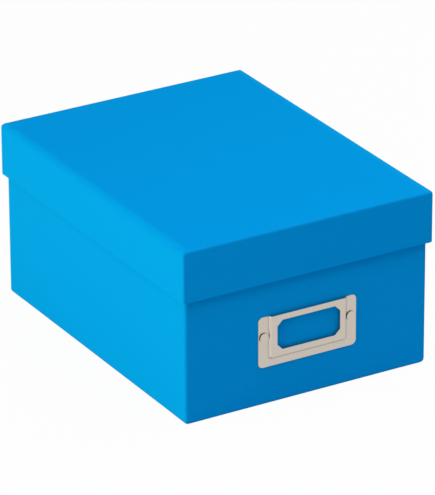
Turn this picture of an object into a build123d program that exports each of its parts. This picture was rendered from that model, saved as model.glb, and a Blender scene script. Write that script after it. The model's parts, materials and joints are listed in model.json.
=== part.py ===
from build123d import *

import os
from dataclasses import dataclass
from math import asin, atan2, degrees

# A rigid box for photo cards: a board tray and a lift-off board lid, both wrapped in coloured paper,
# with a pressed metal label holder pinned to the short front wall.
# The box stands on its bottom: +Z is up, the label holder faces -Y, and the origin is under the middle.
# All sizes are in millimetres.

# Driving sizes of the whole box
LID_WIDTH = 170.0
LID_LENGTH = 220.0
BOX_HEIGHT = 112.0
LID_DEPTH = 33.0
LID_OVERHANG = 2.7

# Thickness of each sheet
BOARD = 1.8
PAPER = 0.2
LINING = 0.15
STAY = 0.12

# The board: creased inside and bent round outside along the two long folds, half cut along the two
# short ones, its walls meeting edge to face at the corners
LONG_FOLD = 2.4
SCORE_DEPTH = 1.6
BUTT_GAP = 0.1
BOARD_CORNER = 1.6
RIM_CHAMFER = 0.15

# The gummed tapes on the corners, and how softly the paper rises over them
STAY_REACH = 15.0
STAY_START = 2.8
STAY_END = 1.9
RIDGE_RAMP = 3.0
RIDGE_MARGIN = 0.3

# The covering paper
TURN_IN = 18.0
UNDER_FLAP = 12.0
SLIT = 0.3
SEAM_FROM_CORNER = 24.0
SEAM_OVERLAP = 12.0
CORNER_SEAM_WIDTH = 0.2
CORNER_SEAM_DEPTH = 0.08
BOTTOM_SHEET_INSET = 4.4
JOGGLE = 0.4

# The label holder
HOLDER_WIDTH = 66.8
HOLDER_HEIGHT = 32.6
HOLDER_BOTTOM = 24.6
HOLDER_CORNER = 3.2
HOLDER_SHEET = 0.5
POCKET_WIDTH = 50.6
POCKET_FOOT = 4.9
POCKET_RAISE = 1.7
POCKET_SLOPE = 1.1
POCKET_CORNER = 2.0
POCKET_TOP_DROP = 0.3
HOLDER_CHAMFER = 0.15
INNER_BEND = 0.3
WINDOW_WIDTH = 42.8
WINDOW_HEIGHT = 18.8
WINDOW_CHAMFER = 3.5
WINDOW_BORDER = 3.9

# The split pins
PIN_SPACING = 59.2
PIN_HEAD_RADIUS = 3.0
PIN_HEAD_RISE = 1.1
PIN_HEAD_EDGE = 0.4
PIN_HOLE_RADIUS = 1.6
LEG_WIDTH = 2.6
LEG_THICKNESS = 0.35
LEG_GAP = 0.1
LEG_BEND = 0.4
LEG_TIP = 1.0
UPPER_LEG = 9.0
LOWER_LEG = 7.5

# Half sizes to the outside of the flat paper, and heights that follow from the sizes above
LID_HALF_X = LID_WIDTH / 2 - STAY
LID_HALF_Y = LID_LENGTH / 2 - STAY
BASE_HALF_X = LID_HALF_X - LID_OVERHANG
BASE_HALF_Y = LID_HALF_Y - LID_OVERHANG
WALL = PAPER + BOARD + LINING
BASE_HEIGHT = BOX_HEIGHT - WALL
POCKET_TOP = HOLDER_BOTTOM + HOLDER_HEIGHT - POCKET_TOP_DROP
WINDOW_MIDDLE = HOLDER_BOTTOM + POCKET_FOOT + POCKET_SLOPE + WINDOW_BORDER + WINDOW_HEIGHT / 2

CORNER_SIGNS = [(-1, -1), (1, -1), (-1, 1), (1, 1)]
CORNER_NAMES = ["front_left", "front_right", "back_left", "back_right"]


def block(half_x, half_y, low, high, corner=0.0):
    """An upright block centred on the Z axis, its upright edges rounded if a corner radius is given."""
    if corner:
        outline = RectangleRounded(2 * half_x, 2 * half_y, corner)
    else:
        outline = Rectangle(2 * half_x, 2 * half_y)
    return extrude(Pos(0, 0, low) * outline, high - low)


def upright_bar(x, y, low, high, size_x, size_y):
    """A plain upright bar centred on x and y."""
    return Pos(x, y, low) * Box(size_x, size_y, high - low, align=(Align.CENTER, Align.CENTER, Align.MIN))


def edges_at(solid, height):
    """The edges that lie flat at one height."""
    return solid.edges().filter_by_position(Axis.Z, height - 0.001, height + 0.001)


def bent_block(half_x, half_y, low, high, fold):
    """A block whose two long lower edges are rounded."""
    form = block(half_x, half_y, low, high)
    return fillet(edges_at(form, low).filter_by(Axis.Y), fold)


def round_ends(form, half_y, high, corner):
    """Rounds the edges round the two ends of a block, all but those of its rim."""
    below_rim = form.edges().filter_by_position(Axis.Z, -0.001, high - 0.001)
    front = below_rim.filter_by_position(Axis.Y, -half_y - 0.001, -half_y + 0.001)
    back = below_rim.filter_by_position(Axis.Y, half_y - 0.001, half_y + 0.001)
    return fillet(front + back, corner)


def over_stays(half_x, half_y, low, high, corner):
    """A block whose walls stand out by a tape's thickness near the corners and slope back to flat."""
    out_x, out_y = half_x + STAY, half_y + STAY
    in_x, in_y = half_x - STAY_REACH, half_y - STAY_REACH
    quarter = [
        (half_x, in_y - RIDGE_RAMP),
        (out_x, in_y),
        (out_x, out_y),
        (in_x, out_y),
        (in_x - RIDGE_RAMP, half_y),
    ]
    points = quarter + [(-x, y) for x, y in reversed(quarter)]
    points += [(-x, -y) for x, y in points]
    outline = make_face(Polyline(*points, close=True))
    corners = [v for v in outline.vertices() if abs(v.X) + abs(v.Y) > half_x + half_y]
    return extrude(Pos(0, 0, low) * fillet(ShapeList(corners), corner + STAY), high - low)


@dataclass
class Tray:
    """One wrapped tray, drawn open upwards with the outside of its closed face at z = 0.

    half_x and half_y reach to the outside of the flat paper, and depth reaches to the rim.
    """

    half_x: float
    half_y: float
    depth: float

    def board(self):
        """The board blank: long folds bent, short ones half cut, and notched where they meet."""
        x, y = self.half_x - PAPER, self.half_y - PAPER
        rim = self.depth - PAPER
        score_top = PAPER + SCORE_DEPTH
        hollow = block(x - BOARD, y - BOARD, PAPER + BOARD, self.depth)
        blank = bent_block(x, y, PAPER, rim, LONG_FOLD) & block(x, y, PAPER, rim, BOARD_CORNER)
        blank -= hollow + (block(x, y, 0, score_top) - block(x, y - SCORE_DEPTH, 0, score_top))
        for side_x, side_y in CORNER_SIGNS:
            butt_x, butt_y = side_x * (x - BOARD - BUTT_GAP / 2), side_y * (y - BOARD / 2)
            blank -= upright_bar(butt_x, butt_y, score_top, self.depth, BUTT_GAP, BOARD)
            notch_x, notch_y = side_x * (x - LONG_FOLD / 2), side_y * (y - SCORE_DEPTH / 2)
            blank -= upright_bar(notch_x, notch_y, 0, PAPER + LONG_FOLD, LONG_FOLD, SCORE_DEPTH)
        return blank

    def lining(self):
        """The white paper laminated on the inside of the board."""
        x, y = self.half_x - PAPER - BOARD, self.half_y - PAPER - BOARD
        floor, top = PAPER + BOARD, self.depth - PAPER
        return block(x, y, floor, top) - block(x - LINING, y - LINING, floor + LINING, self.depth)

    def stays(self):
        """The gummed tapes that hold the board's corners, in the order of CORNER_SIGNS."""
        x, y = self.half_x - PAPER, self.half_y - PAPER
        low, high = PAPER + STAY_START, self.depth - PAPER - STAY_END
        tape = block(x + STAY, y + STAY, low, high, BOARD_CORNER + STAY)
        tape -= block(x, y, low, high, BOARD_CORNER)
        reach = 2 * STAY_REACH
        return [tape & upright_bar(sx * x, sy * y, low, high, reach, reach) for sx, sy in CORNER_SIGNS]

    def walls(self, inset=0.0):
        """The paper's outer form, or its inner form when inset by the paper's thickness."""
        x, y = self.half_x - inset, self.half_y - inset
        low, high = inset, self.depth - inset
        corner = BOARD_CORNER + PAPER - inset
        ridge_low = PAPER + STAY_START - RIDGE_MARGIN
        ridge_high = self.depth - PAPER - STAY_END + RIDGE_MARGIN
        form = round_ends(bent_block(x, y, low, high, LONG_FOLD + PAPER - inset), y, high, corner)
        if not inset:
            form = chamfer(edges_at(form, high), RIM_CHAMFER)
        return form + over_stays(x, y, ridge_low + inset / 2, ridge_high - inset / 2, corner)

    def cover(self):
        """The covering paper: closed face, four walls, the fold over the rim, and the slit turn-in."""
        x, y = self.half_x - WALL, self.half_y - WALL
        turned_in = block(x, y, self.depth - TURN_IN, self.depth - PAPER)
        mouth = block(x - PAPER, y - PAPER, self.depth - TURN_IN, self.depth)
        paper = self.walls() - self.walls(PAPER) + turned_in - mouth
        rim_edges = edges_at(paper, self.depth)
        mouth_edges = [e for e in rim_edges if abs(e.center().X) < x and abs(e.center().Y) < y]
        paper = chamfer(ShapeList(mouth_edges), RIM_CHAMFER / 2)
        for side_x, side_y in CORNER_SIGNS:
            slit_x, slit_top = side_x * (x - PAPER - SLIT / 2), self.depth - BOARD
            paper -= upright_bar(slit_x, side_y * y, self.depth - TURN_IN, slit_top, SLIT, 2 * PAPER)
        return paper


lid = Tray(LID_HALF_X, LID_HALF_Y, LID_DEPTH)
base = Tray(BASE_HALF_X, BASE_HALF_Y, BASE_HEIGHT - PAPER)


def base_cover():
    """The base's paper is a strip round the walls, lapped on the back wall, its lower edge turned under."""
    x, y = base.half_x, base.half_y
    paper = base.cover() - block(x - UNDER_FLAP, y - UNDER_FLAP, 0, PAPER)
    for side_x, side_y in CORNER_SIGNS:
        mitre = Rot(0, 0, 45 * side_x * side_y) * Box(4 * UNDER_FLAP, SLIT, 2 * PAPER)
        flap_corner = Pos(side_x * (x - UNDER_FLAP), side_y * (y - UNDER_FLAP), 0)
        reach = block(x - BOARD, y - BOARD, -PAPER, PAPER)
        paper -= flap_corner * mitre & reach
    start = -x + SEAM_FROM_CORNER
    end = start + SEAM_OVERLAP
    lap = make_face(
        Polyline((start, y), (start, y + PAPER), (end, y + PAPER), (end + RIDGE_RAMP, y), close=True)
    )
    return paper + extrude(Pos(0, 0, STAY_END) * lap, base.depth - 2 * STAY_END)


def lid_cover():
    """The lid's paper is one sheet, whose end flaps stop beside the corners, over tabs from the sides."""
    paper = lid.cover()
    seam_x = lid.half_x - BOARD_CORNER - PAPER - CORNER_SEAM_WIDTH / 2
    for side_x, side_y in CORNER_SIGNS:
        face_y = side_y * (lid.half_y + STAY)
        paper -= upright_bar(
            side_x * seam_x, face_y, 2 * BOARD, lid.depth - BOARD, CORNER_SEAM_WIDTH, 2 * CORNER_SEAM_DEPTH
        )
    return paper


def bottom_sheet():
    """The sheet under the base: its border lies over the turned-under flaps, its middle against the board."""
    x, y = BASE_HALF_X - BOTTOM_SHEET_INSET, BASE_HALF_Y - BOTTOM_SHEET_INSET
    hollow_x, hollow_y = BASE_HALF_X - UNDER_FLAP - JOGGLE, BASE_HALF_Y - UNDER_FLAP - JOGGLE
    border = block(x, y, 0, PAPER) - block(hollow_x - JOGGLE, hollow_y - JOGGLE, 0, PAPER)
    return border + block(hollow_x, hollow_y, PAPER, 2 * PAPER)


def on_front(height, outward=0.0):
    """The front wall's plane, at a height over the floor and a distance out from the paper."""
    return Plane.XZ.offset(BASE_HALF_Y + outward) * Pos(0, height)


def pocket_form(outward):
    """The pressed form of the pocket: a flat panel raised on sloping sides and foot, running on upwards."""
    height = HOLDER_HEIGHT + POCKET_FOOT
    outline = RectangleRounded(POCKET_WIDTH + 2 * POCKET_SLOPE, height, POCKET_CORNER)
    middle = HOLDER_BOTTOM + POCKET_FOOT + height / 2
    slope = degrees(atan2(POCKET_SLOPE, POCKET_RAISE))
    form = extrude(on_front(middle, outward) * outline, POCKET_RAISE, taper=slope)
    return fillet(edges_out(form, outward + POCKET_RAISE), INNER_BEND + outward)


def edges_out(solid, outward):
    """The edges in the plane that lies in front of the base's paper by one distance."""
    y = -BASE_HALF_Y - outward
    return solid.edges().filter_by_position(Axis.Y, y - 0.001, y + 0.001)


def foot_edges(solid, outward):
    """The edges where the pocket's sloping sides and foot meet the flange, below the pocket's open top."""
    side = POCKET_WIDTH / 2 + POCKET_SLOPE
    edges = edges_out(solid, outward).filter_by_position(Axis.X, -side - 0.001, side + 0.001)
    low = HOLDER_BOTTOM + POCKET_FOOT
    return edges.filter_by_position(Axis.Z, low - 0.001, POCKET_TOP + 0.001)


def label_holder():
    """A flange round three sides of a raised pocket with an eight-sided window, open at the top."""
    middle = HOLDER_BOTTOM + HOLDER_HEIGHT / 2
    outline = RectangleRounded(HOLDER_WIDTH, HOLDER_HEIGHT, HOLDER_CORNER)
    flange = extrude(on_front(middle) * outline, HOLDER_SHEET)
    flange = chamfer(edges_out(flange, HOLDER_SHEET), HOLDER_CHAMFER)
    above = POCKET_TOP + HOLDER_HEIGHT / 2
    open_top = extrude(on_front(above) * Rectangle(POCKET_WIDTH + 2 * POCKET_SLOPE, HOLDER_HEIGHT), 2 * BOARD)
    holder = flange + pocket_form(HOLDER_SHEET) - open_top
    holder = fillet(foot_edges(holder, HOLDER_SHEET), INNER_BEND)
    holder -= pocket_form(0)
    window = chamfer(Rectangle(WINDOW_WIDTH, WINDOW_HEIGHT).vertices(), WINDOW_CHAMFER)
    holder -= extrude(on_front(WINDOW_MIDDLE) * window, 2 * BOARD)
    for side in (-1, 1):
        holder -= pin_hole(side)
    return holder


def pin_hole(side):
    """The hole for one pin, through the label holder and the wall behind it."""
    hole = Circle(PIN_HOLE_RADIUS)
    place = on_front(WINDOW_MIDDLE) * Pos(side * PIN_SPACING / 2, 0)
    return extrude(place * hole, HOLDER_SHEET) + extrude(place * hole, -2 * WALL)


def pin_leg(length, direction):
    """One leg: it runs in from the head through the wall, then lies bent up or down on the lining."""
    lining_y = WALL - BASE_HALF_Y
    head_y = -BASE_HALF_Y - HOLDER_SHEET
    near, far = LEG_GAP / 2, LEG_GAP / 2 + LEG_THICKNESS
    profile = Polyline(
        (head_y, near),
        (lining_y + LEG_THICKNESS, near),
        (lining_y + LEG_THICKNESS, length),
        (lining_y, length),
        (lining_y, far),
        (head_y, far),
        close=True,
    )
    side_view = make_face(profile)
    outer_bend = side_view.vertices().sort_by_distance((lining_y + LEG_THICKNESS, near))[0]
    side_view = fillet(outer_bend, LEG_BEND)
    leg = extrude(Plane.YZ * side_view, LEG_WIDTH / 2, both=True)
    tip = leg.edges().filter_by(Axis.Y).group_by(Axis.Z)[-1]
    leg = fillet(tip, LEG_TIP)
    if direction < 0:
        leg = mirror(leg, Plane.XY)
    return leg


def split_pin():
    """A domed head over two legs, drawn with its hole's axis at z = 0."""
    head_y = -BASE_HALF_Y - HOLDER_SHEET
    cap = PIN_HEAD_RISE - PIN_HEAD_EDGE
    cap_radius = (PIN_HEAD_RADIUS**2 + cap**2) / (2 * cap)
    centre = (0, head_y - PIN_HEAD_RISE + cap_radius)
    crown = CenterArc(centre, cap_radius, -90, degrees(asin(PIN_HEAD_RADIUS / cap_radius)))
    foot = Polyline(crown @ 1, (PIN_HEAD_RADIUS, head_y), (0, head_y), crown @ 0)
    section = make_face(crown + foot)
    head = revolve(section, Axis.Y)
    return head + pin_leg(UPPER_LEG, 1) + pin_leg(LOWER_LEG, -1)


def stand(piece):
    """Sets a piece of the base tray on its bottom sheet."""
    return Pos(0, 0, PAPER) * piece


def turn_over(piece):
    """Turns a piece of the lid tray over and sets it on the base."""
    return Pos(0, 0, BOX_HEIGHT) * mirror(piece, Plane.XY)


pieces = {
    "base_board": stand(base.board()),
    "base_lining": stand(base.lining()),
    "base_cover": stand(base_cover()),
    "base_bottom_sheet": bottom_sheet(),
    "label_holder": label_holder(),
    "lid_board": turn_over(lid.board()),
    "lid_lining": turn_over(lid.lining()),
    "lid_cover": turn_over(lid_cover()),
}
for corner, base_stay, lid_stay in zip(CORNER_NAMES, base.stays(), lid.stays()):
    pieces[f"base_stay_{corner}"] = stand(base_stay)
    pieces[f"lid_stay_{corner}"] = turn_over(lid_stay)
for side_name, side in (("left", -1), ("right", 1)):
    for walled in ("base_board", "base_lining", "base_cover"):
        pieces[walled] -= pin_hole(side)
    pieces[f"holder_pin_{side_name}"] = Pos(side * PIN_SPACING / 2, 0, WINDOW_MIDDLE) * split_pin()

os.makedirs("parts", exist_ok=True)
for name, piece in pieces.items():
    export_step(piece, f"parts/{name}.step")
    print(name, "solids", len(piece.solids()), "volume", round(piece.volume, 1))
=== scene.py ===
# %% [markdown]
# A card storage box is two shallow cardboard trays, one over the other, wrapped in coloured paper.
# Its sizes were settled in CAD, so the imported model is loaded first and stays as it is: it says where
# every piece sits, in metres, with the box standing at z = 0 and its label holder facing -Y.
# The looks are then built around it, in the same frame, so that nothing has to be fitted by eye.

# %% Load the CAD frame
import json
import math

import bmesh
import bpy
from mathutils import Matrix, Vector


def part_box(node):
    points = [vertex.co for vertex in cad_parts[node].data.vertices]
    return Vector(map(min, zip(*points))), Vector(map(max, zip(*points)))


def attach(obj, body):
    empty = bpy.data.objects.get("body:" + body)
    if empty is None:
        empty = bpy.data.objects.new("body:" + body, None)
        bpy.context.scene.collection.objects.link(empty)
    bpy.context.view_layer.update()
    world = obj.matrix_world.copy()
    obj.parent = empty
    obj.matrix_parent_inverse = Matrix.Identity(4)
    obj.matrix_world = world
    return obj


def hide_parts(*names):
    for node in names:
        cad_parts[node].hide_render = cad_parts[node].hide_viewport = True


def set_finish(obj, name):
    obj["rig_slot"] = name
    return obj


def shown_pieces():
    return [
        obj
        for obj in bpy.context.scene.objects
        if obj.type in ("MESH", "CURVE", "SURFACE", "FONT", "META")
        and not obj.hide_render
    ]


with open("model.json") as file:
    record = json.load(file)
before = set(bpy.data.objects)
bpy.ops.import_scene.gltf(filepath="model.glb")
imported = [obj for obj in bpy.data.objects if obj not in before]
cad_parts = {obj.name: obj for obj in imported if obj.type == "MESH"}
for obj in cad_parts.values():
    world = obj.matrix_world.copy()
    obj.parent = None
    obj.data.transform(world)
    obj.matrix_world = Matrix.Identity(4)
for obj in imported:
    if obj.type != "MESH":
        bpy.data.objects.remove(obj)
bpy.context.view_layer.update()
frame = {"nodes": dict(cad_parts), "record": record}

# %% [markdown]
# Paper and sheet metal are measured in millimetres, and Blender works in metres. Each new piece is
# therefore modelled in millimetres and made smaller by one scale when it is finished. That keeps the
# numbers readable, and the object itself stays unscaled at the origin, as the CAD pieces are.
# The helper below turns the two corners of a CAD piece into millimetres.

# %% Read the sizes of the CAD pieces
MM = 0.001


def corners_in_mm(node):
    """The lowest and the highest corner of a CAD piece, in millimetres."""
    low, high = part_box(node)
    return low / MM, high / MM


lid_low, lid_high = corners_in_mm("lid_cover")
base_low, base_high = corners_in_mm("base_cover")
print("lid paper: ", [round(x, 2) for x in lid_low], [round(x, 2) for x in lid_high])
print("base paper:", [round(x, 2) for x in base_low], [round(x, 2) for x in base_high])

# %% [markdown]
# Most steps on a mesh are the same few: pick some edges by where they are, round them, or cut the mesh
# along a plane so that there is something to move. Picking by place is safer than picking by number,
# because numbers change with each operator. Bevel in a script has other defaults than in the editor,
# so all of its settings are written out once, here.

# %% Helpers that pick, round and cut
NEAR = 0.002  # two coordinates closer than this, in mm, count as the same
ON_CUT = 1e-5  # a corner closer to a cut than this is taken to lie on it


def at(value, target):
    """True if a coordinate is at a target, apart from rounding."""
    return abs(value - target) < NEAR


def same_x(edge):
    """True for an edge whose two ends have the same x."""
    return at(edge.verts[0].co.x, edge.verts[1].co.x)


def edges_where(bm, test):
    """The edges both of whose ends pass a test on their position."""
    return [edge for edge in bm.edges if all(test(vert.co) for vert in edge.verts)]


def folds_in(bm, least, test=lambda co: True):
    """The edges that pass a test and where two faces meet at more than an angle, in degrees."""
    bm.normal_update()
    inner = [edge for edge in edges_where(bm, test) if len(edge.link_faces) == 2]
    return [edge for edge in inner if edge.calc_face_angle(0.0) > math.radians(least)]


def verts_in(parts):
    """The corners among the parts that an operator gives back."""
    return [part for part in parts if isinstance(part, bmesh.types.BMVert)]


def nearest_face(faces, place):
    """The face whose middle is nearest to a place."""
    return min(faces, key=lambda face: (face.calc_center_median() - place).length)


def round_off(bm, parts, radius, steps, affect="EDGES"):
    """Rounds edges, or corners in a flat outline, to a radius."""
    bmesh.ops.bevel(
        bm, geom=parts, offset=radius, offset_type="OFFSET", segments=steps,
        profile=0.5, affect=affect, material=-1,
    )


def cut(bm, place, direction, faces=None):
    """Cuts the whole mesh, or some of its faces, along a plane."""
    if faces is None:
        parts = bm.verts[:] + bm.edges[:] + bm.faces[:]
    else:
        around = {e for f in faces for e in f.edges} | {v for f in faces for v in f.verts}
        parts = list(around) + list(faces)
    bmesh.ops.bisect_plane(bm, geom=parts, dist=ON_CUT, plane_co=place, plane_no=direction)


def cut_square(bm, axis, value, faces=None):
    """Cuts square to an axis, where the coordinate along it has a value."""
    place, direction = Vector(), Vector()
    place[axis], direction[axis] = value, 1
    cut(bm, place, direction, faces)


# %% [markdown]
# A piece is finished in the same way each time. Its mesh is made smaller to metres, and its faces are
# shaded smooth except across sharp folds. A rounded edge beside a large flat face needs one thing more:
# without it the soft shading of the edge spreads over the whole flat. The Weighted Normal modifier
# lets the large faces decide, so flats stay flat and only the roundings look round.

# %% Helper that finishes a piece
SHARP_FOLD = math.radians(38)


def finish_piece(bm, name, body, slot, replaced):
    """Turns a mesh in millimetres into a shown piece that rides on a body and stands for CAD nodes."""
    bmesh.ops.scale(bm, vec=(MM, MM, MM), verts=bm.verts)
    open_edges = sum(1 for edge in bm.edges if not edge.is_manifold)
    mesh = bpy.data.meshes.new(name)
    bm.to_mesh(mesh)
    bm.free()
    mesh.shade_smooth()
    mesh.set_sharp_from_angle(angle=SHARP_FOLD)
    piece = bpy.data.objects.new(name, mesh)
    bpy.context.scene.collection.objects.link(piece)
    weighted = piece.modifiers.new("flats_stay_flat", "WEIGHTED_NORMAL")
    weighted.keep_sharp = True
    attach(piece, body)
    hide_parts(*replaced)
    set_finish(piece, slot)
    print(name, "faces", len(mesh.polygons), "edges that aren't closed", open_edges)


# %% [markdown]
# Paper has no thickness until the very end of the work: it is a sheet, and it is easier to fold as one.
# So each wrap is modelled as a bare surface, the outside of the paper, and gets its 0.2 mm last.
# The surface starts as a block with one end taken away. Two things follow the real wrap: its standing
# corners are round, because paper doesn't fold sharply over board, and its open edge is drawn in over
# the rim of the wall and along its inside, by extruding the edge loop and scaling or moving it.

# %% Helpers that fold paper round a tray
PAPER = 0.2
WALL = 2.35  # board, lining and both thicknesses of paper, across the rim
TURN_IN = 18.0  # how far the paper goes on along the inside of the wall
LONG_FOLD, LONG_STEPS = 2.6, 10  # radius and steps of the two long folds
CORNER, CORNER_STEPS = 1.8, 8  # of the two short folds and the standing corners
RIM_ROUNDING, RIM_STEPS = 0.5, 4  # and of the rim
RIM_FOLD = 30  # the folds at the rim are sharper than this, in degrees
MERGED = 1e-4  # corners closer than this are made one


def open_block(low, high, closed):
    """A block with round folds, open at one end. The closed end is its "top" or its "bottom"."""
    up = 1 if closed == "top" else -1
    level, rim = (high.z, low.z) if closed == "top" else (low.z, high.z)
    bm = bmesh.new()
    bmesh.ops.create_cube(bm, size=1.0)
    bmesh.ops.scale(bm, vec=high - low, verts=bm.verts)
    bmesh.ops.translate(bm, vec=(low + high) / 2, verts=bm.verts)
    bm.normal_update()
    bmesh.ops.delete(bm, geom=[min(bm.faces, key=lambda f: f.normal.z * up)], context="FACES_ONLY")
    folds = edges_where(bm, lambda co: at(co.z, level))
    round_off(bm, [e for e in folds if same_x(e)], LONG_FOLD, LONG_STEPS)
    for y in (low.y, high.y):
        outline = edges_where(bm, lambda co: at(co.y, y))
        outline = [e for e in outline if not all(at(v.co.z, rim) for v in e.verts)]
        round_off(bm, outline, CORNER, CORNER_STEPS)
    return bm


def fold_in(bm, height, inward, along):
    """Draws the open edge at a height inwards, then along the inside of the wall over a rounded rim."""
    edge = edges_where(bm, lambda co: at(co.z, height))
    half = Vector([max(v.co[i] for e in edge for v in e.verts) for i in range(3)])
    drawn = bmesh.ops.extrude_edge_only(bm, edges=edge)["geom"]
    shrink = ((half.x - inward) / half.x, (half.y - inward) / half.y, 1)
    bmesh.ops.scale(bm, vec=shrink, verts=verts_in(drawn))
    inner = [part for part in drawn if isinstance(part, bmesh.types.BMEdge)]
    drawn = bmesh.ops.extrude_edge_only(bm, edges=inner)["geom"]
    bmesh.ops.translate(bm, vec=(0, 0, along), verts=verts_in(drawn))
    round_off(bm, folds_in(bm, RIM_FOLD, lambda co: at(co.z, height)), RIM_ROUNDING, RIM_STEPS)


def looks_right(faces):
    """Above 0 if the wall of a tray that is farthest to the right looks to the right."""
    return max(faces, key=lambda f: f.calc_center_median().x).normal.x


def outward_and_thick(bm, thickness, outward):
    """Points all faces outwards, as a test tells, and gives the surface a thickness on its inner side."""
    bmesh.ops.remove_doubles(bm, verts=bm.verts, dist=MERGED)
    bmesh.ops.recalc_face_normals(bm, faces=bm.faces)
    if outward(bm.faces) < 0:
        bmesh.ops.reverse_faces(bm, faces=bm.faces)
    bm.normal_update()
    bmesh.ops.solidify(bm, geom=bm.faces[:], thickness=thickness)


# %% [markdown]
# Under the paper, a strip of gummed tape holds each standing corner of the board. It is thin, but the
# paper shows it: the wall stands out by 0.12 mm for the first 15 mm from each corner, and runs down to
# the bare board over 3 mm. It is only seen when light grazes the wall. The wrap is cut along the two
# lines where that slope starts and ends, and the middle of each wall is moved in.

# %% Helper that lets the corner tapes show through
STAY_RISE = 0.12  # thickness of the tape
STAY_LINE = 15.3  # where the slope starts, from the outside of the corner
STAY_SLOPE = 3.0  # how wide the slope is


def sink_between_stays(bm, high, level):
    """Moves the middle of all four walls in, less and less round the fold that ends at one level."""
    for axis, across, fold in ((0, 1, LONG_FOLD), (1, 0, CORNER)):
        reach = high[across] - STAY_LINE
        for line in (reach, reach - STAY_SLOPE):
            for side in (-1, 1):
                cut_square(bm, across, side * line)
        middle = reach - STAY_SLOPE + NEAR
        for vert in bm.verts:
            depth = abs(vert.co[axis]) - high[axis]
            if abs(vert.co[across]) < middle and depth > -fold:
                if abs(vert.co.z - level) < fold:
                    share = 1 + depth / fold
                else:
                    share = 1 if depth > -CORNER else 0
                vert.co[axis] -= math.copysign(STAY_RISE * share, vert.co[axis])


# %% [markdown]
# The lid's paper is one sheet. It lies over the top, folds down over two long edges that are bent soft
# and round and two short ones that are crisper, and goes in over the rim. At the standing corners, tabs
# from the long sides go round under the flaps of the short ends, so each end flap stops in a fine line
# beside the corner. That line is a shallow groove here: three cuts side by side, the middle one pushed in.

# %% Model the lid's paper
SEAM_IN, SEAM_HALF_WIDTH, SEAM_DEPTH = 2.0, 0.1, 0.1
WALL_REACH = 1.0  # the outside of a wall is all within this of the outermost paper

bm = open_block(lid_low, lid_high, "top")
fold_in(bm, lid_low.z, WALL, TURN_IN)
sink_between_stays(bm, lid_high, lid_high.z)
for side in (-1, 1):
    seam = side * (lid_high.x - SEAM_IN)
    for line in (seam - SEAM_HALF_WIDTH, seam, seam + SEAM_HALF_WIDTH):
        cut_square(bm, 0, line)
    for end in (-1, 1):
        groove = [
            v for v in bm.verts
            if at(v.co.x, seam) and v.co.y * end > lid_high.y - WALL_REACH
            and v.co.z < lid_high.z - LONG_FOLD
        ]
        bmesh.ops.translate(bm, vec=(0, -end * SEAM_DEPTH, 0), verts=groove)
outward_and_thick(bm, PAPER, looks_right)
finish_piece(bm, "lid_wrap", "lid", "blue_paper", ["lid_cover"])

# %% [markdown]
# The base's paper is a strip round the four walls. Its upper edge goes in over the rim, its lower edge
# is turned under the bottom for 12 mm, and its two ends meet on the back wall, where one lies over the
# other for 12 mm. The lap is a step of one paper thickness on one side and a slope on the other.
# The two split pins of the label holder go through the front wall, so its paper has two round holes.
# A hole is made by cutting a small square out of the wall, giving it more corners, and drawing them
# onto a circle before the middle is taken away.

# %% Helper that makes a round hole in a wall
HOLE_RADIUS = 1.6
HOLE_SQUARE = HOLE_RADIUS * 1.5  # half the side of the square that the hole is made in
HOLE_CUTS = 5  # new corners on each side of the square
HOLE_RING = 0.3  # width of the ring of faces round the hole, before it is made round
IN_WALL = 0.2  # a face this near to the wall's plane is part of the wall


def pierce(bm, x, z, y):
    """Makes a round hole in the flat wall at one y, round (x, z)."""
    centre = Vector((x, y, z))
    for axis, middle in ((0, x), (2, z)):
        for side in (-1, 1):
            near = [
                f for f in bm.faces
                if all(abs(v.co.y - y) < IN_WALL for v in f.verts)
                and min(v.co.x for v in f.verts) < x + HOLE_SQUARE
                and max(v.co.x for v in f.verts) > x - HOLE_SQUARE
            ]
            cut_square(bm, axis, middle + side * HOLE_SQUARE, near)
    inside = []
    for face in bm.faces:
        away = face.calc_center_median() - centre
        if abs(away.x) < HOLE_SQUARE and abs(away.z) < HOLE_SQUARE and abs(away.y) < IN_WALL:
            inside.append(face)
    if len(inside) > 1:
        inside = bmesh.ops.dissolve_faces(bm, faces=inside, use_verts=True)["region"]
    bmesh.ops.subdivide_edges(bm, edges=inside[0].edges[:], cuts=HOLE_CUTS, use_grid_fill=False)
    hole = nearest_face(bm.faces, centre)
    bmesh.ops.inset_region(bm, faces=[hole], thickness=HOLE_RING, use_even_offset=True)
    for vert in hole.verts:
        level = Vector((x, vert.co.y, z))
        vert.co = level + (vert.co - level).normalized() * HOLE_RADIUS
    bmesh.ops.delete(bm, geom=[hole], context="FACES_ONLY")


# %% Model the base's paper
UNDER_FLAP = 12.0
LAP_START, LAP_END = -58.18, -46.18  # the strip's two ends on the back wall, one over the other
LAP_STEP, LAP_SLOPE = 0.04, 3.0  # the paper comes up in a short step at one side, in a slope at the other
PIN_Z = 43.9  # the pins' axis; their two legs differ in length, so the CAD box's middle isn't there

pin_low, pin_high = corners_in_mm("holder_pin_right")
pin_x = (pin_low.x + pin_high.x) / 2
base_half = Vector((base_high.x, -base_low.y, base_high.z))
flap_end = base_half - Vector((UNDER_FLAP, UNDER_FLAP, 0))
bm = open_block(base_low, base_half, "bottom")
for axis in (0, 1):
    for side in (-1, 1):
        under = [f for f in bm.faces if all(at(v.co.z, base_low.z) for v in f.verts)]
        cut_square(bm, axis, side * flap_end[axis], under)
middle = nearest_face(bm.faces, Vector((0, 0, base_low.z)))
bmesh.ops.delete(bm, geom=[middle], context="FACES_ONLY")
fold_in(bm, base_high.z, WALL, -TURN_IN)
sink_between_stays(bm, base_half, base_low.z)
front = base_low.y + STAY_RISE
for side in (-1, 1):
    pierce(bm, side * pin_x, PIN_Z, front)
for line in (LAP_START - LAP_STEP, LAP_START, LAP_END, LAP_END + LAP_SLOPE):
    cut_square(bm, 0, line)
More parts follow.
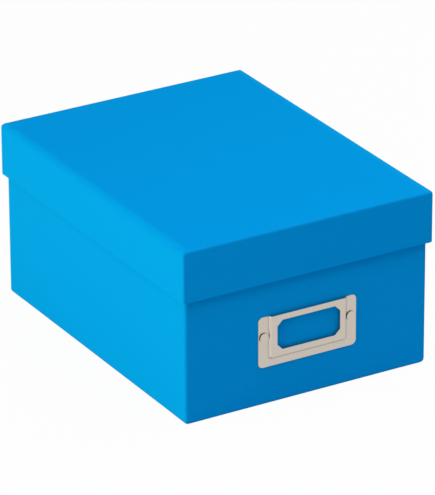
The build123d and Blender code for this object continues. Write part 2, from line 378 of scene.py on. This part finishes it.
lap = [
    v for v in bm.verts
    if LAP_START - NEAR < v.co.x < LAP_END + NEAR and v.co.y > base_half.y - WALL_REACH
    and base_low.z + CORNER / 2 < v.co.z < base_high.z - RIM_ROUNDING / 2
]
bmesh.ops.translate(bm, vec=(0, PAPER, 0), verts=lap)
outward_and_thick(bm, PAPER, looks_right)
finish_piece(bm, "base_wrap", "base", "blue_paper", ["base_cover"])

# %% [markdown]
# The label holder is pressed from one sheet of steel. A flange lies on the wall at both sides and below,
# and the pocket between them is raised on sloping sides, so that a card slides in behind it from above.
# Its model starts as the foot of the pocket, drawn flat. Insetting that face while lifting it makes the
# slopes on three sides at once, and leaves the open top straight, because an inset can skip the
# boundary. The flange is drawn out from the same edges. The window is cut with eight planes.

# %% Model the label holder
SHEET = 0.5
FOOT_HALF, FOOT_LOW, POCKET_HIGH = 26.4, 29.5, 56.9  # the pocket's foot: half width, low and high end
POCKET_RAISE, POCKET_SLOPE = 1.7, 1.1  # how far the pocket stands out, and how wide its slopes are
FOOT_CORNER, HOLDER_CORNER = 2.0, 3.2  # radii of the foot's and the flange's corners
OUTLINE_STEPS = 8

holder_low, holder_high = corners_in_mm("label_holder")
holder_half = (holder_high.x - holder_low.x) / 2
flange_y = front - SHEET


def on_face(x, z, y=flange_y):
    """A point of the label holder, by its place on the front wall."""
    return Vector((x, y, z))


bm = bmesh.new()
foot_corners = (
    (-FOOT_HALF, POCKET_HIGH), (-FOOT_HALF, FOOT_LOW), (FOOT_HALF, FOOT_LOW), (FOOT_HALF, POCKET_HIGH),
)
foot_verts = [bmesh.ops.create_vert(bm, co=on_face(x, z))["vert"][0] for x, z in foot_corners]
bmesh.ops.contextual_create(bm, geom=foot_verts)
bm.normal_update()
if bm.faces[:][0].normal.y > 0:
    bmesh.ops.reverse_faces(bm, faces=bm.faces)
round_off(bm, [v for v in bm.verts if at(v.co.z, FOOT_LOW)], FOOT_CORNER, OUTLINE_STEPS, affect="VERTICES")
foot = [e for e in bm.edges if not all(at(v.co.z, POCKET_HIGH) for v in e.verts)]
drawn = bmesh.ops.extrude_edge_only(bm, edges=foot)["geom"]
for vert in verts_in(drawn):
    side = 1 if vert.co.x > 0 else -1
    inner = on_face(side * (FOOT_HALF - FOOT_CORNER), FOOT_LOW + FOOT_CORNER)
    outer = on_face(side * (holder_half - HOLDER_CORNER), holder_low.z + HOLDER_CORNER)
    if at(vert.co.z, POCKET_HIGH):
        vert.co = on_face(side * holder_half, holder_high.z)
    elif abs(vert.co.x) > FOOT_HALF - FOOT_CORNER - NEAR and vert.co.z < inner.z + NEAR:
        vert.co = outer + (vert.co - inner).normalized() * HOLDER_CORNER
top_corners = [v for v in bm.verts if at(v.co.z, holder_high.z)]
round_off(bm, top_corners, HOLDER_CORNER, OUTLINE_STEPS, affect="VERTICES")
pocket = max(bm.faces, key=lambda f: f.calc_area())
bmesh.ops.inset_region(
    bm, faces=[pocket], use_boundary=False, use_even_offset=True,
    thickness=POCKET_SLOPE, depth=POCKET_RAISE,
)
print("holder faces:", len(bm.faces), "pocket face at y", round(pocket.calc_center_median().y, 3))

# %% Cut the window and give the sheet its thickness
WINDOW_HALF_X, WINDOW_LOW, WINDOW_HIGH, WINDOW_CHAMFER = 21.4, 34.5, 53.3, 3.5
BEND_LEAST, PRESS_BEND, BEND_STEPS = 20, 0.35, 4  # the pressed bends: degrees, radius and steps
EDGE_LEAST, EDGE_ROUNDING, EDGE_STEPS = 60, 0.12, 2  # the stamped edges, in the same way

panel_y = flange_y - POCKET_RAISE


def window_face():
    """The face of the pocket panel that lies round the window's middle."""
    middle = on_face(0, (WINDOW_LOW + WINDOW_HIGH) / 2, panel_y)
    return nearest_face([f for f in bm.faces if all(at(v.co.y, panel_y) for v in f.verts)], middle)


def looks_forward(faces):
    """Above 0 if a sheet on the front wall looks away from that wall."""
    return -sum(f.normal.y * f.calc_area() for f in faces)


for axis, line in ((0, -WINDOW_HALF_X), (0, WINDOW_HALF_X), (2, WINDOW_LOW), (2, WINDOW_HIGH)):
    cut_square(bm, axis, line, [window_face()])
for side in (-1, 1):
    for height, up in ((WINDOW_LOW + WINDOW_CHAMFER, -1), (WINDOW_HIGH - WINDOW_CHAMFER, 1)):
        cut(bm, on_face(side * WINDOW_HALF_X, height), (side, 0, up), [window_face()])
bmesh.ops.delete(bm, geom=[window_face()], context="FACES_ONLY")
round_off(bm, folds_in(bm, BEND_LEAST), PRESS_BEND, BEND_STEPS)
for side in (-1, 1):
    pierce(bm, side * pin_x, PIN_Z, flange_y)
outward_and_thick(bm, SHEET, looks_forward)
round_off(bm, folds_in(bm, EDGE_LEAST), EDGE_ROUNDING, EDGE_STEPS)
finish_piece(bm, "holder_plate", "base", "nickel_steel", ["label_holder"])

# %% [markdown]
# A split pin has a thin domed head and two flat legs. The head is stamped hollow, so its edge is a thin
# rim that stands a little off the flange, and a dark gap shows under it from one side. It is a cap cut
# from a sphere, given the thickness of the sheet, with a rounded rim. A leg is one small face, extruded
# through the wall, spun through a quarter turn, and extruded again along the inside of the box. Its
# flat end is rounded last, as such a leg is, so that it doesn't catch on the cards.

# %% Model the pins' heads
HEAD_RADIUS, HEAD_RISE, HEAD_SHEET, HEAD_GAP = 3.0, 0.3, 0.2, 0.6
HEAD_SPOKES, HEAD_RINGS = 48, 72  # of the whole sphere
HEAD_EDGE_LEAST, HEAD_EDGE, HEAD_EDGE_STEPS = 50, HEAD_SHEET * 0.4, 3  # degrees, radius and steps


def join(bm, other):
    """Adds another mesh to this one, and frees it."""
    spare = bpy.data.meshes.new("spare")
    other.to_mesh(spare)
    other.free()
    bm.from_mesh(spare)
    bpy.data.meshes.remove(spare)


def pin_head(bm, x):
    """A thin domed cap over the flange, round the pin's axis."""
    ball = (HEAD_RADIUS**2 + HEAD_RISE**2) / (2 * HEAD_RISE)
    rim_y = flange_y - HEAD_GAP - HEAD_SHEET
    centre = Vector((x, rim_y - HEAD_RISE + ball, PIN_Z))
    cap = bmesh.new()
    bmesh.ops.create_uvsphere(cap, u_segments=HEAD_SPOKES, v_segments=HEAD_RINGS, radius=ball)
    bmesh.ops.rotate(cap, verts=cap.verts, matrix=Matrix.Rotation(math.radians(90), 3, "X"))
    bmesh.ops.translate(cap, verts=cap.verts, vec=centre)
    parts = cap.verts[:] + cap.edges[:] + cap.faces[:]
    bmesh.ops.bisect_plane(
        cap, geom=parts, dist=ON_CUT, plane_co=(x, rim_y, PIN_Z), plane_no=(0, 1, 0), clear_outer=True,
    )
    outward_and_thick(cap, HEAD_SHEET, looks_forward)
    round_off(cap, folds_in(cap, HEAD_EDGE_LEAST), HEAD_EDGE, HEAD_EDGE_STEPS)
    print("pin head at x", round(x, 2), "faces", len(cap.faces))
    join(bm, cap)


# %% Model the pins' legs, and put both pins together
LEG_HALF_WIDTH, LEG_SHEET, LEG_HALF_GAP = 1.3, 0.35, 0.05
LEG_BEND, LEG_BEND_STEPS = 0.4, 6
LEG_TIP, LEG_TIP_STEPS = 1.0, 6
UPPER_LEG, LOWER_LEG = 9.0, 7.5
WALL_INSIDE = 2.15  # paper, board and lining, from the outside of the front wall to its inside

lining_y = front + WALL_INSIDE


def drawn_out(bm, face, vec):
    """Extrudes one face and moves the new end. The old face goes if it would be left inside."""
    made = bmesh.ops.extrude_face_region(bm, geom=[face])["geom"]
    bmesh.ops.translate(bm, vec=vec, verts=verts_in(made))
    if face.is_valid and all(len(e.link_faces) > 2 for e in face.edges):
        bmesh.ops.delete(bm, geom=[face], context="FACES_ONLY")


def pin_leg(bm, x, up, length):
    """One flat leg: in through the wall, a quarter turn, and along the lining to a rounded tip."""
    leg = bmesh.new()
    start_y = flange_y - HEAD_GAP - HEAD_SHEET / 2
    section = bmesh.ops.create_grid(leg, x_segments=1, y_segments=1, size=0.5)["verts"]
    bmesh.ops.scale(leg, vec=(2 * LEG_HALF_WIDTH, LEG_SHEET, 1), verts=section)
    bmesh.ops.rotate(leg, verts=section, matrix=Matrix.Rotation(math.radians(90), 3, "X"))
    bmesh.ops.translate(leg, verts=section, vec=(x, start_y, PIN_Z + up * (LEG_HALF_GAP + LEG_SHEET / 2)))

    drawn_out(leg, leg.faces[:][0], (0, lining_y - start_y, 0))
    end = max(leg.faces, key=lambda f: f.calc_center_median().y)
    bend_axis = Vector((x, lining_y, PIN_Z + up * (LEG_HALF_GAP + LEG_SHEET + LEG_BEND)))
    turned = bmesh.ops.spin(
        leg, geom=[end] + end.edges[:] + end.verts[:], cent=bend_axis, axis=(1, 0, 0),
        angle=up * math.radians(90), steps=LEG_BEND_STEPS, use_duplicate=False,
    )["geom_last"]
    last = [f for f in turned if isinstance(f, bmesh.types.BMFace)][0]
    drawn_out(leg, last, (0, 0, up * (length - LEG_BEND - LEG_SHEET)))
    bmesh.ops.recalc_face_normals(leg, faces=leg.faces)
    tip_z = max(v.co.z * up for v in leg.verts)
    tip = edges_where(leg, lambda co: at(co.z * up, tip_z))
    round_off(leg, [e for e in tip if same_x(e)], LEG_TIP, LEG_TIP_STEPS)
    join(bm, leg)


for side_name, side in (("left", -1), ("right", 1)):
    bm = bmesh.new()
    pin_head(bm, side * pin_x)
    pin_leg(bm, side * pin_x, 1, UPPER_LEG)
    pin_leg(bm, side * pin_x, -1, LOWER_LEG)
    finish_piece(bm, f"split_pin_{side_name}", "base", "nickel_steel", [f"holder_pin_{side_name}"])

# %% [markdown]
# Materials are written as sums. A texture gives a value from 0 to 1, and most finishes are a few such
# values, stretched, mixed and added. The small class below wraps the output of a node, so that
# 1 - mask or grain * 0.3 adds the Math nodes by itself. Every other node comes from one method,
# which takes its type, its settings, and the values or links of its sockets.

# %% Write shader maths as sums
class Wire:
    """The output of a node, which sums can be written with."""

    def __init__(self, finish, socket):
        self.finish = finish
        self.socket = socket

    def sum(self, operation, *values):
        """One Math node, with the values or links of its inputs in order."""
        return self.finish.node("ShaderNodeMath", {"operation": operation}, dict(enumerate(values)))

    def __add__(self, other):
        return self.sum("ADD", self, other)

    def __sub__(self, other):
        return self.sum("SUBTRACT", self, other)

    def __rsub__(self, other):
        return self.sum("SUBTRACT", other, self)

    def __mul__(self, other):
        return self.sum("MULTIPLY", self, other)

    def __abs__(self):
        return self.sum("ABSOLUTE", self)

    __radd__ = __add__
    __rmul__ = __mul__


class Finish:
    """A material, or the world, whose nodes are added one at a time."""

    def __init__(self, owner):
        self.owner = owner
        owner.use_nodes = True
        self.tree = owner.node_tree
        self.tree.nodes.clear()

    def node(self, kind, settings=None, sockets=None, output=0):
        """Adds a node and gives one of its outputs."""
        made = self.tree.nodes.new(kind)
        for name, value in (settings or {}).items():
            setattr(made, name, value)
        for name, value in (sockets or {}).items():
            if isinstance(name, int):
                socket = made.inputs[name]
            else:
                socket = next(s for s in made.inputs if s.enabled and s.name == name)
            if isinstance(value, Wire):
                self.tree.links.new(value.socket, socket)
            else:
                socket.default_value = value
        if isinstance(output, str):
            return Wire(self, made.outputs[output])
        shown = [s for s in made.outputs if s.enabled]
        return Wire(self, shown[output]) if shown else None

    def place(self):
        """Where a point of the piece is, in metres."""
        return self.node("ShaderNodeTexCoord", output="Object")

    def parts(self, place):
        """The x, y and z of a place."""
        split = self.node("ShaderNodeSeparateXYZ", {}, {"Vector": place}).socket.node
        return [Wire(self, socket) for socket in split.outputs]

    def noise(self, place, size_mm, detail=3.0, roughness=0.5):
        """A soft random value round 0.5, whose blots are about a size across."""
        sockets = {"Vector": place, "Scale": 1.0 / (size_mm * MM), "Detail": detail, "Roughness": roughness}
        return self.node("ShaderNodeTexNoise", {}, sockets)

    def stretched(self, place, scale):
        """The place with its axes stretched, for a grain that runs one way."""
        return self.node("ShaderNodeMapping", {"vector_type": "POINT"}, {"Vector": place, "Scale": scale})

    def mix(self, share, first, second):
        """A colour between two colours."""
        return self.node("ShaderNodeMix", {"data_type": "RGBA"}, {"Factor": share, "A": first, "B": second})

    def between(self, value, low, high):
        """0 below low, 1 above high, and a soft step between them."""
        sockets = {"Value": value, "From Min": low, "From Max": high}
        return self.node("ShaderNodeMapRange", {"interpolation_type": "SMOOTHSTEP"}, sockets)

    def bump(self, height, height_mm):
        """The normal of a surface whose height runs over some thousandths of a millimetre."""
        sockets = {"Height": height, "Strength": 1.0, "Distance": height_mm * MM}
        return self.node("ShaderNodeBump", {}, sockets)

    def shader(self, **sockets):
        """Ends the material with a Principled shader; underscores in the names stand for spaces."""
        named = {name.replace("_", " "): value for name, value in sockets.items()}
        surface = self.node("ShaderNodeBsdfPrincipled", {}, named)
        self.node("ShaderNodeOutputMaterial", {}, {"Surface": surface})
        return self.owner


def new_finish(name):
    """A finish on a new material."""
    return Finish(bpy.data.materials.new(name))


# %% [markdown]
# The wrap is a dyed, uncoated paper. From a distance it is one flat, strong blue with hardly any shine.
# Close up it has the cloudy look of paper fibres and a fine tooth that breaks up the little shine it has.
# The lid's short folds and standing corners are crisp, with a painted sheen: their colour is a shade
# lighter, flecked with the fibres. Its long folds are soft and round. On the bend itself the colour is a
# shade deeper, a painted shade, and on the top beside the bend a shade lighter, a painted light, so the
# light passes from wall to top without a hard line. Folds are found from the place: a point is on one if it
# is near two faces.

# %% Mix the blue paper
BLUE = (0.0, 0.3, 0.65, 1.0)
BLUE_DEEP = (0.0, 0.286, 0.63, 1.0)
# The next three colours are painted: a sheen on the crisp folds, a shade on the bend of the soft folds, and
# light on the top beside the soft folds.
BLUE_PAINTED_SHEEN = (0.005, 0.335, 0.695, 1.0)
BLUE_PAINTED_SHADE = (0.0, 0.262, 0.587, 1.0)
BLUE_PAINTED_LIGHT = (0.0, 0.325, 0.655, 1.0)
CLOUD_SIZE, FIBRE_SIZE, TOOTH_SIZE = 9.0, 0.8, 0.25  # mm across
PAPER_TOOTH, FIBRE_LIFT = 0.008, 0.5  # height of the tooth in mm, and the fibres' share of it
FIBRE_SHARE = 0.6
PAPER_ROUGH, PAPER_ROUGH_MORE, PAPER_SHINE = 0.62, 0.12, 0.008
# shares of the painted sheen on the crisp folds, of the fibres in it, and of the painted shade on the soft
# folds
PAINTED_SHEEN_SHARE, PAINTED_SHEEN_FIBRES, PAINTED_SHADE_SHARE = 0.1, 0.5, 0.5

# Each pair says where a shade starts and where it is full, in metres from the middle or above the table.
# For the painted light beside the long folds, the second pair says where it starts to fade and where it is
# gone.
CRISP_SIDE, CRISP_TOP, CRISP_END = (0.0824, 0.0848), (0.1098, 0.1118), (0.108, 0.1098)
SOFT_SIDE, SOFT_TOP = (0.0825, 0.0846), (0.107, 0.1115)
PAINTED_LIGHT_FROM, PAINTED_LIGHT_TO, PAINTED_LIGHT_TOP = (0.0793, 0.082), (0.0822, 0.084), (0.1095, 0.1112)


def blue_paper():
    """Dyed matt paper, cloudy and toothed close up, with painted sheen, shade and light at its folds."""
    paper = new_finish("blue_paper_finish")
    place = paper.place()
    clouds = paper.noise(place, CLOUD_SIZE)
    fibres = paper.noise(place, FIBRE_SIZE, detail=4.0, roughness=0.6)
    tooth = paper.noise(place, TOOTH_SIZE, detail=2.0)
    colour = paper.mix(fibres * FIBRE_SHARE + clouds * (1 - FIBRE_SHARE), BLUE_DEEP, BLUE)
    x, y, height = paper.parts(place)
    side, end = abs(x), abs(y)
    crisp = paper.between(side, *CRISP_SIDE) + paper.between(height, *CRISP_TOP)
    crisp = crisp * paper.between(end, *CRISP_END)
    soft = paper.between(side, *SOFT_SIDE) * paper.between(height, *SOFT_TOP)
    # painted light: the top beside the soft long folds is made a shade lighter
    painted_light = paper.between(side, *PAINTED_LIGHT_FROM) - paper.between(side, *PAINTED_LIGHT_TO)
    painted_light = painted_light * paper.between(height, *PAINTED_LIGHT_TOP)
    # painted sheen: the crisp folds are made a shade lighter, flecked with the fibres
    colour = paper.mix(crisp * (fibres * PAINTED_SHEEN_FIBRES + PAINTED_SHEEN_SHARE), colour, BLUE_PAINTED_SHEEN)
    # painted shade: the bend of the soft long folds is made a shade deeper
    colour = paper.mix(soft * PAINTED_SHADE_SHARE, colour, BLUE_PAINTED_SHADE)
    colour = paper.mix(painted_light, colour, BLUE_PAINTED_LIGHT)
    rough = PAPER_ROUGH + fibres * PAPER_ROUGH_MORE
    normal = paper.bump(tooth + fibres * FIBRE_LIFT, PAPER_TOOTH)
    return paper.shader(Base_Color=colour, Roughness=rough, Specular_IOR_Level=PAPER_SHINE, Normal=normal)


blue_finish = blue_paper()
print("blue paper nodes:", len(blue_finish.node_tree.nodes))

# %% [markdown]
# Three more finishes show only inside the box, or where it would be cut. The lining is a plain white
# paper, a little warm. The board is pressed from waste paper, so it is grey pulp with dark flecks: the
# flecks are a fine noise of which only the highest peaks are kept. The corner tapes are brown kraft
# paper, whose fibres run along the tape, so their noise is stretched that way.

# %% Mix the lining paper, the board and the tape
LINING_DARK, LINING_LIGHT = (0.76, 0.755, 0.73, 1.0), (0.83, 0.83, 0.81, 1.0)
LINING_FIBRES, LINING_CLOUDS, LINING_TOOTH = 0.9, 12.0, 0.01
LINING_ROUGH, LINING_ROUGH_MORE, LINING_SHINE = 0.7, 0.1, 0.3
PULP_DARK, PULP_LIGHT = (0.3, 0.265, 0.22, 1.0), (0.47, 0.43, 0.36, 1.0)
PULP_SIZE, PULP_TOOTH = 2.5, 0.04
PULP_ROUGH, PULP_ROUGH_MORE, PULP_SHINE = 0.85, 0.1, 0.25
FLECK, FLECK_SIZE, FLECK_PEAKS, FLECK_SHARE = (0.12, 0.1, 0.085, 1.0), 0.5, (0.62, 0.72), 0.6
KRAFT_DARK, KRAFT_LIGHT = (0.34, 0.2, 0.1, 1.0), (0.5, 0.32, 0.17, 1.0)
KRAFT_GRAIN, KRAFT_SIZE, KRAFT_TOOTH = (1.0, 1.0, 0.15), 0.6, 0.015
KRAFT_ROUGH, KRAFT_ROUGH_MORE, KRAFT_SHINE = 0.4, 0.2, 0.5


def white_paper():
    """Plain lining paper, a little warm, with faint fibres."""
    paper = new_finish("white_paper_finish")
    place = paper.place()
    fibres = paper.noise(place, LINING_FIBRES, detail=4.0, roughness=0.6)
    clouds = paper.noise(place, LINING_CLOUDS)
    colour = paper.mix(fibres * 0.5 + clouds * 0.5, LINING_DARK, LINING_LIGHT)
    rough = LINING_ROUGH + fibres * LINING_ROUGH_MORE
    normal = paper.bump(fibres, LINING_TOOTH)
    return paper.shader(Base_Color=colour, Roughness=rough, Specular_IOR_Level=LINING_SHINE, Normal=normal)


def greyboard():
    """Board made from waste paper: grey pulp with dark flecks."""
    board = new_finish("greyboard_finish")
    place = board.place()
    pulp = board.noise(place, PULP_SIZE, detail=5.0, roughness=0.65)
    flecks = board.between(board.noise(place, FLECK_SIZE, detail=2.0), *FLECK_PEAKS)
    colour = board.mix(pulp, PULP_DARK, PULP_LIGHT)
    colour = board.mix(flecks * FLECK_SHARE, colour, FLECK)
    rough = PULP_ROUGH + pulp * PULP_ROUGH_MORE
    normal = board.bump(pulp, PULP_TOOTH)
    return board.shader(Base_Color=colour, Roughness=rough, Specular_IOR_Level=PULP_SHINE, Normal=normal)


def kraft_tape():
    """Gummed kraft tape: long brown fibres and the slight gloss of its gum."""
    tape = new_finish("kraft_tape_finish")
    grain = tape.stretched(tape.place(), KRAFT_GRAIN)
    fibres = tape.noise(grain, KRAFT_SIZE, detail=4.0, roughness=0.6)
    colour = tape.mix(fibres, KRAFT_DARK, KRAFT_LIGHT)
    rough = KRAFT_ROUGH + fibres * KRAFT_ROUGH_MORE
    normal = tape.bump(fibres, KRAFT_TOOTH)
    return tape.shader(Base_Color=colour, Roughness=rough, Specular_IOR_Level=KRAFT_SHINE, Normal=normal)


inside_finishes = {"white_paper": white_paper(), "greyboard": greyboard(), "kraft_tape": kraft_tape()}
print("finishes inside the walls:", sorted(inside_finishes))

# %% [markdown]
# The label holder and the pins are steel with a satin nickel plating, whose roll marks run along the
# sheet. A painted highlight makes the slopes of the pocket brighter, and a painted shade darkens the inner
# bend at their foot. Both are found from the distance to the foot of the pocket, and a smooth maximum of
# the distances to its side and its low end follows its round corners.

# %% Mix the nickel plating
NICKEL_LOW, NICKEL_HIGH = (0.545, 0.49, 0.425, 1.0), (0.585, 0.53, 0.465, 1.0)
# painted highlight for the pocket's slopes
NICKEL_PAINTED_HIGHLIGHT = (0.6, 0.545, 0.48, 1.0)
# painted shade for the inner bend at the pocket's foot
NICKEL_PAINTED_SHADE = (0.39, 0.345, 0.3, 1.0)
NICKEL_CLOUDS = 4.0
NICKEL_ROUGH, NICKEL_ROUGH_MORE = 0.27, 0.1
ROLL_GRAIN, ROLL_SIZE, ROLL_DEPTH = (0.03, 1.0, 1.0), 0.12, 0.0015
FOOT_BLEND = 0.0035

# Each pair says where a shade starts and is full, or fades and is gone, in metres past the pocket's foot.
SLOPE_FROM, SLOPE_TO = (-0.0012, -0.0009), (-0.0003, 0.0)
BEND_FROM, BEND_TO = (-0.0001, 0.0001), (0.0001, 0.0009)
ON_FLANGE = (-0.1082, -0.108)  # y of the flange, because the pins' heads in front of it have no bend


def nickel_steel():
    """Satin nickel plate over pressed steel: roll marks along it, painted highlight on the slopes, painted
    shade in the inner bends.
    """
    metal = new_finish("nickel_steel_finish")
    place = metal.place()
    marks = metal.noise(metal.stretched(place, ROLL_GRAIN), ROLL_SIZE, detail=2.0)
    clouds = metal.noise(place, NICKEL_CLOUDS)
    colour = metal.mix(clouds, NICKEL_LOW, NICKEL_HIGH)
    x, y, height = metal.parts(place)
    beside, below = abs(x) - FOOT_HALF * MM, FOOT_LOW * MM - height
    past_foot = beside.sum("SMOOTH_MAX", beside, below, FOOT_BLEND)
    slope = metal.between(past_foot, *SLOPE_FROM) - metal.between(past_foot, *SLOPE_TO)
    bend = metal.between(past_foot, *BEND_FROM) - metal.between(past_foot, *BEND_TO)
    # painted highlight: the slopes of the pocket are made brighter
    colour = metal.mix(slope, colour, NICKEL_PAINTED_HIGHLIGHT)
    # painted shade: the inner bend at the pocket's foot is made darker, on the flange only
    colour = metal.mix(bend * metal.between(y, *ON_FLANGE), colour, NICKEL_PAINTED_SHADE)
    rough = NICKEL_ROUGH + marks * NICKEL_ROUGH_MORE
    normal = metal.bump(marks, ROLL_DEPTH)
    return metal.shader(Base_Color=colour, Metallic=1.0, Roughness=rough, Normal=normal)


nickel_finish = nickel_steel()
print("nickel nodes:", len(nickel_finish.node_tree.nodes))

# %% [markdown]
# Every piece now gets its finish by the name of its material slot. The record says which slot each CAD
# piece has, and each new piece was given its own slot when it was finished.

# %% Give every piece its finish
finishes = {
    "blue_paper": blue_finish,
    "nickel_steel": nickel_finish,
    **inside_finishes,
}
slot_of = {row["node"]: row["material_slot"] for row in frame["record"]["subparts"]}
for node_name, node in frame["nodes"].items():
    for material_slot in node.material_slots:
        material_slot.material = finishes[slot_of[node_name]]
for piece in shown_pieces():
    if piece.name not in frame["nodes"]:
        piece.data.materials.clear()
        piece.data.materials.append(finishes[piece["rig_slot"]])

# %% [markdown]
# The camera stands where the photographer stood. Its place was worked out from twelve edges of the
# box. It is given as a turn round the upright axis, a height angle and a slight roll, and then as the
# place of the box in front of the camera. It is far away with a long lens, as is usual for photographs
# of products, so the box's edges stay nearly parallel.

# %% Set up the camera
AZIMUTH, ELEVATION, ROLL = -30.413, 24.473, -0.242
SIGHT = Vector((-2.081, -47.763, -2832.516))  # the box as the camera sees it: right, up, behind, in mm
LENS, SENSOR = 340.61, 36.0
CLIP_NEAR, CLIP_FAR = 0.1, 50.0

turn = (
    Matrix.Rotation(math.radians(AZIMUTH), 3, "Z")
    @ Matrix.Rotation(math.radians(90 - ELEVATION), 3, "X")
    @ Matrix.Rotation(math.radians(ROLL), 3, "Z")
)
camera_data = bpy.data.cameras.new("camera")
camera_data.lens = LENS
camera_data.sensor_width = SENSOR
camera_data.clip_start, camera_data.clip_end = CLIP_NEAR, CLIP_FAR
camera = bpy.data.objects.new("camera", camera_data)
camera.rotation_mode = "QUATERNION"
camera.rotation_quaternion = turn.to_quaternion()
camera.location = -(turn @ SIGHT) * MM
bpy.context.scene.collection.objects.link(camera)
bpy.context.scene.camera = camera
print("camera at", [round(x, 3) for x in camera.location])

# %% [markdown]
# The box was photographed in a white studio. The left side is the brightest, the top is even, and the
# front is dimmer, with a soft shadow under the lid. So the strongest lamp stands at the left at table
# height and is warm. Two more hang above: a cool one in front of the box, which throws the lid's shadow,
# and a warm one at the right, which makes the left fold shade evenly from side to top, where a lamp
# right above would draw a bright line on it.

# %% Set up the lamps
def soft_light(name, place, aim, size, level, colour):
    """A large flat lamp; its level is how bright it makes white paper that faces it at the aim."""
    lamp = bpy.data.lights.new(name, "AREA")
    lamp.shape = "RECTANGLE"
    lamp.size, lamp.size_y = size
    lamp.color = colour
    reach = (Vector(aim) - Vector(place)).length
    lamp.energy = level * math.pi**2 * reach**2
    lit = bpy.data.objects.new(name, lamp)
    lit.location = place
    lit.rotation_mode = "QUATERNION"
    lit.rotation_quaternion = (Vector(aim) - Vector(place)).to_track_quat("-Z", "Y")
    lit.visible_camera = False
    bpy.context.scene.collection.objects.link(lit)
    print(name, "power", round(lamp.energy, 2))


soft_light("light_left", (-1.3, 0.0, 0.15), (0, 0, 0.07), (1.6, 0.9), 1.7, (1.0, 0.95, 0.72))
soft_light("light_above", (0.0, -0.5, 1.3), (0, -0.5, 0.1), (1.6, 1.0), 0.98, (0.76, 0.79, 1.0))
soft_light("light_right", (0.9, 0.0, 1.1), (0, 0, 0.1), (1.2, 1.2), 0.48, (1.0, 0.96, 0.73))

# %% [markdown]
# The floor and the room round it show white to the camera and to shiny metal, but what they send to the
# box is a plain, lower level of light, a little blue. A Light Path node tells the two apart. The floor
# keeps a small share of a matt shade, and in it the shadow of the box.

# %% Set up the room and the floor
WHITE = (1.0, 1.0, 1.0, 1.0)
ROOM_LEVEL = 0.255
ROOM_COLOUR = (0.65, 0.69, 1.0, 1.0)
FLOOR_SHADE = (0.58, 0.6, 0.68, 1.0)
FLOOR_WHITE_SHARE = 0.97
FLOOR_GAP = 0.00003  # keeps the floor just clear of the sheet that lies on it
FLOOR_RADIUS, FLOOR_CORNERS = 6.0, 96


def seen_white(finish):
    """1 for what the camera, a mirror or a glass sees, and 0 for the light that falls on the object."""
    camera_ray = finish.node("ShaderNodeLightPath", output="Is Camera Ray")
    path = camera_ray.socket.node
    glossy = Wire(finish, path.outputs["Is Glossy Ray"])
    through = Wire(finish, path.outputs["Is Transmission Ray"])
    return camera_ray + glossy + through


world = bpy.data.worlds.new("studio")
bpy.context.scene.world = world
room = Finish(world)
plain = room.node("ShaderNodeBackground", {}, {"Color": ROOM_COLOUR, "Strength": ROOM_LEVEL})
white = room.node("ShaderNodeBackground", {}, {"Color": WHITE, "Strength": 1.0})
both = room.node("ShaderNodeMixShader", {}, {0: seen_white(room), 1: plain, 2: white})
room.node("ShaderNodeOutputWorld", {}, {"Surface": both})

bm = bmesh.new()
bmesh.ops.create_circle(bm, cap_ends=True, segments=FLOOR_CORNERS, radius=FLOOR_RADIUS)
bmesh.ops.translate(bm, vec=(0, 0, -FLOOR_GAP), verts=bm.verts)
floor_mesh = bpy.data.meshes.new("floor")
bm.to_mesh(floor_mesh)
bm.free()
floor = bpy.data.objects.new("floor", floor_mesh)
bpy.context.scene.collection.objects.link(floor)
table = new_finish("floor_finish")
matt = table.node("ShaderNodeBsdfDiffuse", {}, {"Color": FLOOR_SHADE})
glow = table.node("ShaderNodeEmission", {}, {"Color": WHITE, "Strength": 1.0})
share = seen_white(table) * FLOOR_WHITE_SHARE
surface = table.node("ShaderNodeMixShader", {}, {0: share, 1: matt, 2: glow})
table.node("ShaderNodeOutputMaterial", {}, {"Surface": surface})
floor_mesh.materials.append(table.owner)
bpy.context.scene.view_settings.view_transform = "Standard"
print("floor radius in metres:", FLOOR_RADIUS)
